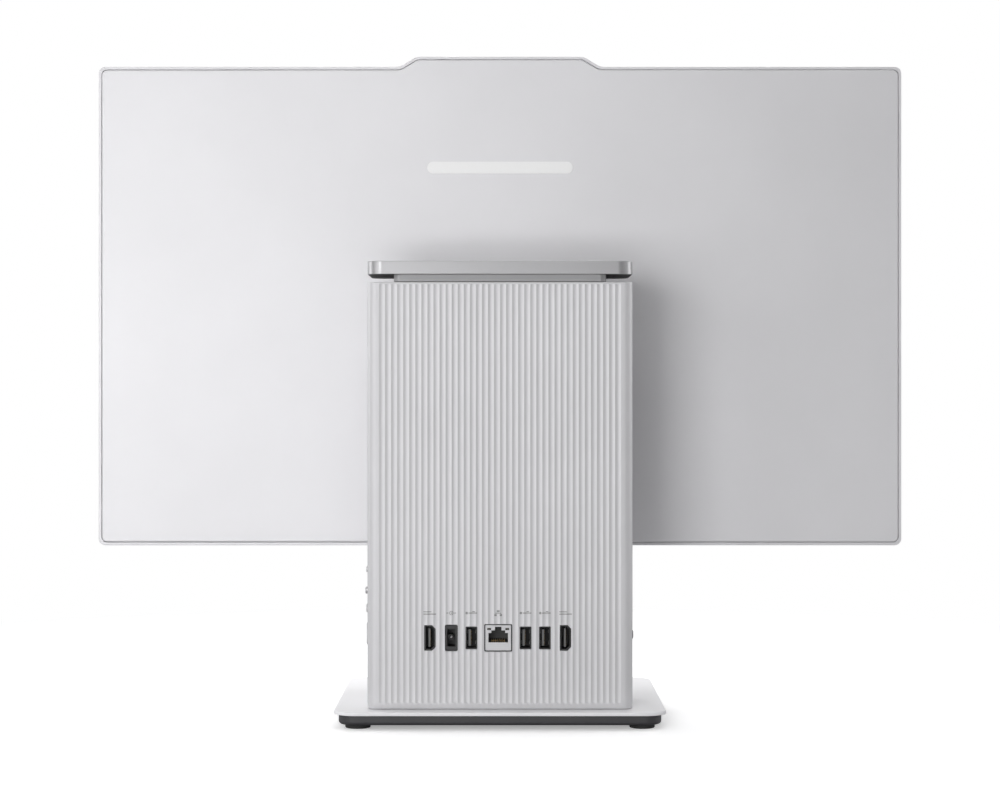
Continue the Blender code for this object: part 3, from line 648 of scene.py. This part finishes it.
SY = 45.0
ob = front_shell()
side = []
KEYS = (("power_button", 7.0, 2.5), ("key_lower", 2.65, 4.5), ("menu_stick", 2.3, 2.3),
        ("key_upper", 1.8, 4.5))
KZ = {}
for n, hz, hy in KEYS:
    klo, khi = bx(n)
    z = (klo[2] + khi[2]) / 2
    KZ[n] = z
    side.append((rrect(SY - hy - 0.3, SY + hy + 0.3, z - hz - 0.3, z + hz + 0.3,
                       min(hz, hy) + 0.28, 10), 79.0, 86.0))
lz = [(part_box(n)[0][2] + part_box(n)[1][2]) * 500 for n in ("port_side_small", "port_audio", "status_light")]
side.append((rrect(SY - 4.9, SY + 4.9, lz[0] - 1.95, lz[0] + 1.95, 1.9, 10), -86.0, -79.0))
side.append((circle(SY, lz[1], 2.9, 32), -86.0, -79.0))
side.append((circle(SY, lz[2], 1.1, 24), -86.0, -79.0))
cut(ob, side, "x")
gr = []
for k in range(8):
    y = 24.5 + 3.2 * k
    for x0, x1 in ((79.0, 86.0), (-86.0, -79.0)):
        gr.append((rrect(y - 0.7, y + 0.7, 132.0, 188.0, 0.69, 6), x0, x1))
cut(ob, gr, "x")
cut(ob, [(rrect(-56.0 + 8 * k - 1.5, -56.0 + 8 * k + 1.5, 128.0, 204.0, 1.45, 6), 10.0, 16.0)
         for k in range(15)], "y")
bevel(ob, 0.18, 2, 60)
place(ob, "stand", "light_plastic", "tower_front_shell")

lo, hi = bx("tower_top_cap")
ob = slab("tower_top_skin", rect_fn(lo[0], hi[0], lo[1], hi[1], 3.0, 8), lo[2], hi[2], M["tower"],
          r_lo=0.2, r_hi=0.3, seg=2)
sl = []
for k in range(12):
    y = 20.0 + 4.6 * k
    for x0, x1 in ((68.6, 78.6), (-78.6, -68.6)):
        sl.append((rrect(x0, x1, y - 1.1, y + 1.1, 1.05, 6), 274.0, 281.0))
cut(ob, sl, "z")
place(ob, "stand", "light_plastic", "tower_top_cap")

# ------------------------------------------------------------------ neck and top plate
lo, hi = bx("neck_block")
ob = slab("neck_skin", rect_fn(lo[0], hi[0], lo[1], hi[1], 4.0, 10), lo[2], hi[2] + 0.28, M["neck"],
          r_lo=0.35, r_hi=0.0, seg=3)
place(ob, "stand", "silver_metal", "neck_block")
lo, hi = bx("top_plate")
ob = slab("top_plate_skin", rect_fn(lo[0], hi[0], lo[1], hi[1], 9.5, 20), lo[2], hi[2], M["top"],
          r_lo=0.4, r_hi=0.5, seg=4)
# every downward-facing face of the plate takes the darker grey: painted shade under the plate, the same metal
# otherwise
ob.data.materials.append(M["liner"])
for p in ob.data.polygons:
    if p.normal.z < -0.99:
        p.material_index = 1
place(ob, "stand", "silver_metal", "top_plate")

# ------------------------------------------------------------------ connectors
SOCK_Y0 = 57.9


def socket(node, outer, inner, mats, depth=15.0, pockets=()):
    """Shell with a recessed cavity; the cavity walls take the second material."""
    cx, cz, hx, hz, y0, y1 = dbox(node)
    bm = bmesh.new()
    loft_into(bm, [(y0, outer), (y1, outer)], "y")
    ob = to_object(node + "_shell", bm, mats[0], 35)
    cut(ob, [(inner, y1 - depth, y1 + 1)] + list(pockets), "y", mats[1], 25)
    bevel(ob, 0.12, 2, 50)
    return ob


for n in ("port_video_a", "port_video_b"):
    cx, cz, hx, hz, y0, y1 = dbox(n)
    ob = socket(n, d_outline(cx, cz, hx, hz, 2.2), d_outline(cx, cz, hx - 0.75, hz - 0.75, 1.9),
                (M["shell"], M["black"]))
    place(ob, "stand", "socket_metal", n)
    t = solids(n + "_tongue", [(slab_rings(rect_fn(cx - 0.35, cx + 0.95, cz - 5.9, cz + 5.9, 0.3, 3),
                                           y0 + 4.2, y1 - 1.4, 0.0, 0.25, 2), "y")], M["mid"])
    place(t, "stand", "black_plastic")
    pads = [(slab_rings(rect_fn(cx - 0.47, cx - 0.33, cz - 5.2 + 0.55 * k - 0.16,
                                cz - 5.2 + 0.55 * k + 0.16, 0.0, 1), y0 + 6, y1 - 2.0, 0, 0, 1), "y")
            for k in range(19)]
    place(solids(n + "_contacts", pads, M["gold"]), "stand", "copper")

for n in ("port_usb_a", "port_usb_b", "port_usb_c"):
    cx, cz, hx, hz, y0, y1 = dbox(n)
    ob = socket(n, rrect(cx - hx, cx + hx, cz - hz, cz + hz, 0.6, 4),
                rrect(cx - hx + 0.55, cx + hx - 0.55, cz - hz + 0.55, cz + hz - 0.55, 0.3, 3),
                (M["shell"], M["black"]))
    place(ob, "stand", "socket_metal", n)
    t = solids(n + "_tongue", [(slab_rings(rect_fn(cx + 0.3, cx + 1.9, cz - 5.3, cz + 5.3, 0.3, 3),
                                           y0 + 4.2, y1 - 1.5, 0.0, 0.3, 2), "y")], M["mid"])
    place(t, "stand", "black_plastic")
    pads = [(slab_rings(rect_fn(cx + 0.14, cx + 0.32, cz + dz - 0.55, cz + dz + 0.55, 0.0, 1),
                        y0 + 6, y1 - 2.2, 0, 0, 1), "y") for dz in (-3.5, -1.0, 1.0, 3.5)]
    place(solids(n + "_contacts", pads, M["gold"]), "stand", "copper")
    tabs = [(slab_rings(rect_fn(cx + s * 2.55 - 0.22, cx + s * 2.55 + 0.22, cz + dz - 0.9,
                                cz + dz + 0.9, 0.1, 2), y1 - 9.0, y1 - 2.8, 0.15, 0.15, 1), "y")
            for s in (-1, 1) for dz in (-3.4, 3.4)]
    place(solids(n + "_springs", tabs, M["mid"]), "stand", "socket_metal")

# thin black gasket inside the cover, close around every socket
ob = slab("port_gasket_sheet", rect_fn(-52.0, 52.0, 45.0, 67.2, 2.0, 6), 74.3, 75.6, M["black"], axis="y")
holes = []
for n, r in (("port_video_a", 0), ("port_video_b", 0), ("port_usb_a", 0.6), ("port_usb_b", 0.6),
             ("port_usb_c", 0.6), ("port_power_in", 1.0), ("port_network", 0.8)):
    cx, cz, hx, hz, y0, y1 = dbox(n)
    hx, hz = hx + 0.04, hz + 0.04
    holes.append((d_outline(cx, cz, hx, hz, 2.2) if r == 0 else
                  rrect(cx - hx, cx + hx, cz - hz, cz + hz, r, 4), 72.0, 77.0))
cut(ob, holes, "y")
place(ob, "stand", "black_plastic")

n = "port_power_in"
cx, cz, hx, hz, y0, y1 = dbox(n)
ob = socket(n, rrect(cx - hx, cx + hx, cz - hz, cz + hz, 1.0, 5),
            rrect(cx - hx + 1.2, cx + hx - 1.2, cz - hz + 2.6, cz + hz - 2.6, 0.5, 4),
            (M["shade"], M["black"]), 13.0)
place(ob, "stand", "black_plastic", n)
ring = solids(n + "_sleeve", [(slab_rings(circ_fn(cx, cz, 1.95, 32), y0 + 4, y1 - 2.5, 0, 0.2, 2), "y")],
              M["black"])
cut(ring, [(circle(cx, cz, 1.35, 28), y1 - 9, y1 + 1)], "y")
place(ring, "stand", "black_plastic")
pin = solids(n + "_pin", [(slab_rings(circ_fn(cx, cz, 0.6, 20), y0 + 5, y1 - 3.0, 0, 0.3, 3), "y")],
             M["nickel"])
place(pin, "stand", "socket_metal")
lipv = [(slab_rings(rect_fn(cx - hx + 1.1, cx + hx - 1.1, cz + s * 6.55 - 0.3, cz + s * 6.55 + 0.3, 0.2, 2),
                    y1 - 0.9, y1 - 0.35, 0.1, 0.1, 1), "y") for s in (-1, 1)]
place(solids(n + "_keyways", lipv, M["dark"]), "stand", "black_plastic")

n = "port_network"
cx, cz, hx, hz, y0, y1 = dbox(n)
half = [(6.1, -2.8), (6.1, 3.0), (4.3, 3.0), (4.3, 4.6), (2.0, 4.6), (2.0, 6.8)]
step = [(cx + u, cz + v) for u, v in half] + [(cx - u, cz + v) for u, v in reversed(half)]
wins = [(rrect(cx + s * 5.65 - 1.15, cx + s * 5.65 + 1.15, cz + 4.9, cz + 6.1, 0.2, 3), y1 - 1.2, y1 + 1)
        for s in (-1, 1)]
ob = socket(n, rrect(cx - hx, cx + hx, cz - hz, cz + hz, 0.6, 4), step, (M["nickel"], M["black"]), 13.0,
            wins)
place(ob, "stand", "socket_metal", n)
leds = [(slab_rings(rect_fn(cx + s * 5.65 - 0.95, cx + s * 5.65 + 0.95, cz + 5.1, cz + 5.9, 0.2, 3),
                    y1 - 1.1, y1 - 0.7, 0, 0.15, 2), "y") for s in (-1, 1)]
place(solids(n + "_lights", leds, M["lamp"]), "stand", "mark")
pins = [(slab_rings(rect_fn(cx - 4.0 + 1.14 * k - 0.22, cx - 4.0 + 1.14 * k + 0.22, cz - 2.75, cz - 1.4, 0.0, 1),
                    y1 - 12.0, y1 - 2.0, 0, 0.1, 1), "y") for k in range(8)]
place(solids(n + "_contacts", pins, M["gold"]), "stand", "copper")

# plain printed marks above the sockets, lying on the fluted face
IZ = 71.7


def face_y(x):
    """Outside face of the rear cover at this x."""
    p = SPAN / FL
    u = (SPAN / 2 - x) % p
    t = (u - 0.12) / (p - 0.24)
    if abs(x) >= SPAN / 2 or not 0 < t < 1:
        return TY1
    return TY1 - DEPTH * (1 - (2 * t - 1) ** 2)


def stripe(bm, xs, zlo, zhi):
    """Thin closed strip that follows the face, from xs[0] to xs[-1]."""
    rows = []
    for x in xs:
        y = face_y(x)
        rows.append([bm.verts.new((x, yy, zz)) for yy, zz in
                     ((y + 0.04, zlo(x)), (y + 0.04, zhi(x)), (y - 0.3, zhi(x)), (y - 0.3, zlo(x)))])
    for a, b in zip(rows, rows[1:]):
        for k in range(4):
            bm.faces.new((a[k], a[(k + 1) % 4], b[(k + 1) % 4], b[k]))
    bm.faces.new(rows[0])
    bm.faces.new(list(reversed(rows[-1])))


def bar_mark(bm, x0, x1, z0, z1):
    n = max(4, int((x1 - x0) / 0.25))
    stripe(bm, [x0 + (x1 - x0) * k / n for k in range(n + 1)], lambda x: z0, lambda x: z1)


def dot_mark(bm, cx, cz, r):
    h = lambda x: math.sqrt(max(r * r - (x - cx) ** 2, 0.003))
    stripe(bm, [cx - r * math.cos(math.pi * k / 14) for k in range(15)],
           lambda x: cz - h(x), lambda x: cz + h(x))


def ring_mark(bm, cx, cz, r, w, n=28):
    cols = []
    for k in range(n):
        a = 2 * math.pi * k / n
        col = []
        for rr, dy in ((r, 0.04), (r - w, 0.04), (r - w, -0.3), (r, -0.3)):
            x = cx + rr * math.cos(a)
            col.append(bm.verts.new((x, face_y(x) + dy, cz + rr * math.sin(a))))
        cols.append(col)
    for k in range(n):
        a, b = cols[k], cols[(k + 1) % n]
        for i in range(4):
            bm.faces.new((a[i], a[(i + 1) % 4], b[(i + 1) % 4], b[i]))


def ink(name, bars=(), dots=(), rings=()):
    bm = bmesh.new()
    for b in bars:
        bar_mark(bm, *b)
    for d in dots:
        dot_mark(bm, *d)
    for r in rings:
        ring_mark(bm, *r)
    place(to_object(name, bm, M["ink"], 35), "stand", "mark", normals=False)


for n in ("port_video_a", "port_video_b"):
    cx = dbox(n)[0]
    ink("label_" + n[5:], bars=[(cx - 4.0, cx + 4.0, IZ - 1.0, IZ - 0.35),
                                (cx - 1.0, cx + 4.0, IZ + 0.5, IZ + 1.05)])
for n in ("port_usb_a", "port_usb_b", "port_usb_c"):
    cx = dbox(n)[0]
    ink("label_" + n[5:], bars=[(cx - 3.6, cx + 1.8, IZ - 0.3, IZ + 0.3), (cx - 2.2, cx - 0.6, IZ + 0.6, IZ + 1.2)],
        dots=[(cx + 2.9, IZ, 0.8)])
cx = dbox("port_power_in")[0]
ink("label_power", bars=[(cx + 1.8, cx + 3.0, IZ - 0.28, IZ + 0.28), (cx - 3.0, cx - 1.8, IZ - 0.28, IZ + 0.28)],
    dots=[(cx, IZ, 0.45)], rings=[(cx, IZ, 1.35, 0.45)])
cx = dbox("port_network")[0]
ink("label_network", bars=[(cx - 0.9, cx + 0.9, IZ + 0.5, IZ + 1.8), (cx - 2.4, cx - 0.9, IZ - 1.9, IZ - 0.7),
                           (cx + 0.9, cx + 2.4, IZ - 1.9, IZ - 0.7), (cx - 1.9, cx + 1.9, IZ - 0.35, IZ + 0.15)])

# ------------------------------------------------------------------ side controls
PROUD = {"power_button": 2.0, "key_lower": 2.0, "menu_stick": 2.8, "key_upper": 2.1}
BODY = {"power_button": "power_key", "key_lower": "lower_key", "menu_stick": "menu_key",
        "key_upper": "upper_key"}
for n, hz, hy in KEYS:
    z = KZ[n]
    r = min(hz, hy)
    fn = rect_fn(SY - hy, SY + hy, z - hz, z + hz, r - 0.01, 12)
    x1 = TX + PROUD[n]
    if n == "menu_stick":
        c = lambda d: circle(SY, z, d, 40)
        rings = [(78.0, c(2.28)), (x1 - 0.5, c(2.28)), (x1 - 0.15, c(2.1)), (x1, c(1.8)),
                 (x1, c(1.4)), (x1 - 0.25, c(1.0)), (x1 - 0.35, c(0.3))]
    else:
        rings = slab_rings(fn, 78.0, x1, 0.0, 0.45, 4)
        rings += [(x1 - 0.12, fn(0.9))] if hz > 3 or hy > 3 else []
    flange = slab_rings(rect_fn(SY - hy - 1.0, SY + hy + 1.0, z - hz - 0.9, z + hz + 0.9, r, 8),
                        78.7, 80.2, 0.1, 0.1, 1)
    ob = solids(n + "_cap", [(rings, "x"), (flange, "x")], M["key"])
    place(ob, BODY[n], "silver_shell", n)

# small round-ended socket on the user's left
n = "port_side_small"
lo, hi = bx(n)
cz = (lo[2] + hi[2]) / 2
bm = bmesh.new()
loft_into(bm, [(lo[0], rrect(SY - 4.6, SY + 4.6, cz - 1.65, cz + 1.65, 1.6, 10)),
               (hi[0], rrect(SY - 4.6, SY + 4.6, cz - 1.65, cz + 1.65, 1.6, 10))], "x")
ob = to_object(n + "_shell", bm, M["nickel"], 35)
cut(ob, [(rrect(SY - 4.2, SY + 4.2, cz - 1.25, cz + 1.25, 1.2, 10), lo[0] - 1, -78.0)], "x", M["black"])
bevel(ob, 0.08, 2, 50)
place(ob, "stand", "socket_metal", n)
ob = solids(n + "_tongue", [(slab_rings(rect_fn(SY - 3.3, SY + 3.3, cz - 0.35, cz + 0.35, 0.3, 4),
                                        lo[0] + 0.9, -77.5, 0.15, 0, 2), "x")], M["black"])
place(ob, "stand", "black_plastic")
n = "port_audio"
lo, hi = bx(n)
cz = (lo[2] + hi[2]) / 2
ob = solids(n + "_ring", [(slab_rings(circ_fn(SY, cz, 2.6, 40), lo[0] - 1.9, hi[0], 0.3, 0.0, 3), "x")],
            M["black"])
cut(ob, [(circle(SY, cz, 1.8, 36), lo[0] - 3.0, -77.0)], "x", M["black"])
place(ob, "stand", "black_plastic", n)
n = "status_light"
lo, hi = bx(n)
cz = (lo[2] + hi[2]) / 2
ob = solids("status_light_pipe", [(slab_rings(circ_fn(SY, cz, 0.85, 28), lo[0], hi[0], 0.3, 0.0, 3), "x")], M["led"])
place(ob, "stand", "mark", n)

# ------------------------------------------------------------------ display
lo, hi = bx("display_frame")
DW, DZ0, DZT = hi[0], lo[2], hi[2]
DZ1 = 429.1
BF, BT = 67.5, 56.3


def d_fn(r, base=0.0, seg=10):
    """Display outline with the raised camera housing, insettable."""
    def fn(d):
        d = d + base
        x, z0, z1, zb = DW - d, DZ0 + d, DZ1 - d, DZT - d
        rr = max(r + base - d, 0.3)
        pts = []
        for cu, cv, a0 in ((x - rr, z0 + rr, -90), (x - rr, z1 - rr, 0)):
            for k in range(seg + 1):
                a = math.radians(a0 + 90.0 * k / seg)
                pts.append((cu + rr * math.cos(a), cv + rr * math.sin(a)))
        f, t = BF - 0.28 * d, BT - 0.28 * d
        half = []
        # soft foot and shoulder of the camera housing
        dx, dz = f - t, zb - z1
        ln = math.hypot(dx, dz)
        q = 3.2
        for s in range(5):
            w = s / 4.0
            p0, p1, p2 = (f + q, z1), (f, z1), (f - dx / ln * q, z1 + dz / ln * q)
            half.append(((1 - w) ** 2 * p0[0] + 2 * w * (1 - w) * p1[0] + w * w * p2[0],
                         (1 - w) ** 2 * p0[1] + 2 * w * (1 - w) * p1[1] + w * w * p2[1]))
        q = 1.6
        for s in range(5):
            w = s / 4.0
            p0, p1, p2 = (t + dx / ln * q, zb - dz / ln * q), (t, zb), (t - q, zb)
            half.append(((1 - w) ** 2 * p0[0] + 2 * w * (1 - w) * p1[0] + w * w * p2[0],
                         (1 - w) ** 2 * p0[1] + 2 * w * (1 - w) * p1[1] + w * w * p2[1]))
        pts += half + [(-u, v) for u, v in reversed(half)]
        for cu, cv, a0 in ((-x + rr, z1 - rr, 90), (-x + rr, z0 + rr, 180)):
            for k in range(seg + 1):
                a = math.radians(a0 + 90.0 * k / seg)
                pts.append((cu + rr * math.cos(a), cv + rr * math.sin(a)))
        return pts
    return fn


ob = slab("display_rim", d_fn(4.6), lo[1], -37.7, M["rim"], "y", r_lo=0.8, r_hi=0.45, seg=4)
cut(ob, [(d_fn(3.9, 1.9)(0.0), -41.0, -36.0)], "y")
cut(ob, [(rrect(-267.3, 267.3, 109.2, 426.4, 1.6, 6), lo[1] - 1, hi[1] + 1)], "y")
cut(ob, [(rrect(-50.0, 50.0, 427.6, 434.4, 1.0, 5), lo[1] - 1, -44.4)], "y")
place(ob, "display", "silver_metal", "display_frame")

lo, hi = bx("display_back")
ob = slab("display_back_skin", d_fn(3.6, 2.2), lo[1], hi[1], M["cover"], "y", r_lo=0.2, r_hi=1.1, seg=5)
place(ob, "display", "silver_shell", "display_back")

lo, hi = bx("front_glass")
ob = slab("screen", rect_fn(lo[0], hi[0], lo[2], hi[2], 1.4, 6), lo[1], hi[1], M["screen"], "y",
          r_lo=0.25, r_hi=0.0, seg=3)
place(ob, "display", "screen_glass", "front_glass")
lo, hi = bx("chin_cover")
ob = slab("chin_strip", rect_fn(lo[0], hi[0], lo[2], hi[2], 1.2, 6), lo[1], hi[1], M["rim"], "y",
          r_lo=0.35, r_hi=0.0, seg=3)
place(ob, "display", "silver_shell", "chin_cover")

lo, hi = bx("camera_bar")
ob = slab("camera_strip", rect_fn(lo[0], hi[0], lo[2], hi[2], 0.8, 6), lo[1], hi[1], M["black"], "y",
          r_lo=0.2, r_hi=0.0, seg=2)
cut(ob, [(rrect(-4.0, 14.0, 429.5, 432.5, 1.49, 10), -54, -50)], "y")
cut(ob, [(circle(s * 30.0, 431.0, 0.45, 14), -54, -50) for s in (-1, 1)], "y")
place(ob, "display", "black_plastic", "camera_bar")
lo, hi = bx("camera_module")
ob = slab("camera_body", rect_fn(lo[0], hi[0], lo[2], hi[2], 0.8, 4), lo[1], hi[1], M["chip"], "y",
          r_lo=0.15, r_hi=0.15, seg=2)
cut(ob, [(circle(0.0, 431.0, 1.45, 32), -51, -49.3)], "y")
place(ob, "display", "black_plastic", "camera_module")
rings = [(-49.25 - 0.55 * math.sqrt(max(0.0, 1 - (k / 6.0) ** 2)), circle(0, 431.0, max(1.35 * k / 6.0, 0.02), 32))
         for k in range(0, 7)] + [(-49.1, circle(0, 431.0, 1.35, 32))]
ob = solids("camera_lens", [(rings, "y")], M["lens"])
place(ob, "display", "screen_glass")
lo, hi = bx("camera_shutter")
parts = [(slab_rings(rect_fn(3.5, 12.5, 428.7, 433.3, 0.5, 4), -51.1, -50.5, 0.1, 0.1, 1), "y"),
         (slab_rings(rect_fn(6.4, 9.6, 429.8, 432.2, 1.0, 8), -52.95, -51.0, 0.3, 0, 3), "y")]
ob = solids("shutter_slider", parts, M["dark"])
place(ob, "shutter", "black_plastic", "camera_shutter")

# pan-head screws holding the hinge bracket to the cover
heads, slots = [], []
for sx in (-1, 1):
    for z in (224.0, 285.0):
        c = lambda r, x=sx * 50.0, z=z: circle(x, z, r, 28)
        heads.append(([(-36.4, c(1.6)), (-34.2, c(1.6)), (-34.2, c(3.3)), (-33.6, c(3.3)), (-33.1, c(2.9)),
                       (-32.8, c(2.1)), (-32.7, c(0.9))], "y"))
        slots.append((rrect(sx * 50 - 1.9, sx * 50 + 1.9, z - 0.35, z + 0.35, 0.1, 2), -33.5, -31.0))
ob = solids("bracket_screws", heads, M["zinc"])
cut(ob, slots, "y", M["black"])
cut(ob, [(rrect(sx * 50 - 0.35, sx * 50 + 0.35, z - 1.9, z + 1.9, 0.1, 2), -33.5, -31.0)
         for sx in (-1, 1) for z in (224.0, 285.0)], "y", M["black"])
place(ob, "display", "sheet_steel")

lo, hi = bx("back_mark")
ob = slab("back_mark_bar", rect_fn(lo[0], hi[0], lo[2], hi[2], (hi[2] - lo[2]) / 2 - 0.01, 16),
          lo[1] - 0.28, hi[1], M["mark"], "y", r_lo=0.0, r_hi=0.12, seg=2)
place(ob, "display", "mark", "back_mark")

# ------------------------------------------------------------------ carried-over CAD nodes
KEEP = {
    "hinge_arm": "steel", "hinge_shaft": "zinc", "display_bracket": "steel", "tower_floor": "zinc",
    "chassis_frame": "zinc", "motherboard": "board", "cpu_package": "chip", "cold_plate": "copper",
    "heat_pipe": "copper", "fin_stack": "fin", "fan_housing": "black", "fan_rotor": "dark",
    "memory_upper": "board", "memory_lower": "board", "solid_state_drive": "chip",
    "wireless_card": "board_dark", "clock_battery": "nickel", "speaker_right": "black",
    "speaker_left": "black", "switch_board": "board", "side_port_board": "board",
    "lcd_panel": "zinc", "panel_edge_board": "board", "panel_driver_board": "board",
}
for n, k in KEEP.items():
    o = NODES[n]
    if o.material_slots:
        for s in o.material_slots:
            s.material = M[k]
    else:
        o.data.materials.append(M[k])
for n in ("hinge_arm", "display_bracket"):
    bevel(NODES[n], 0.6, 3, 50)
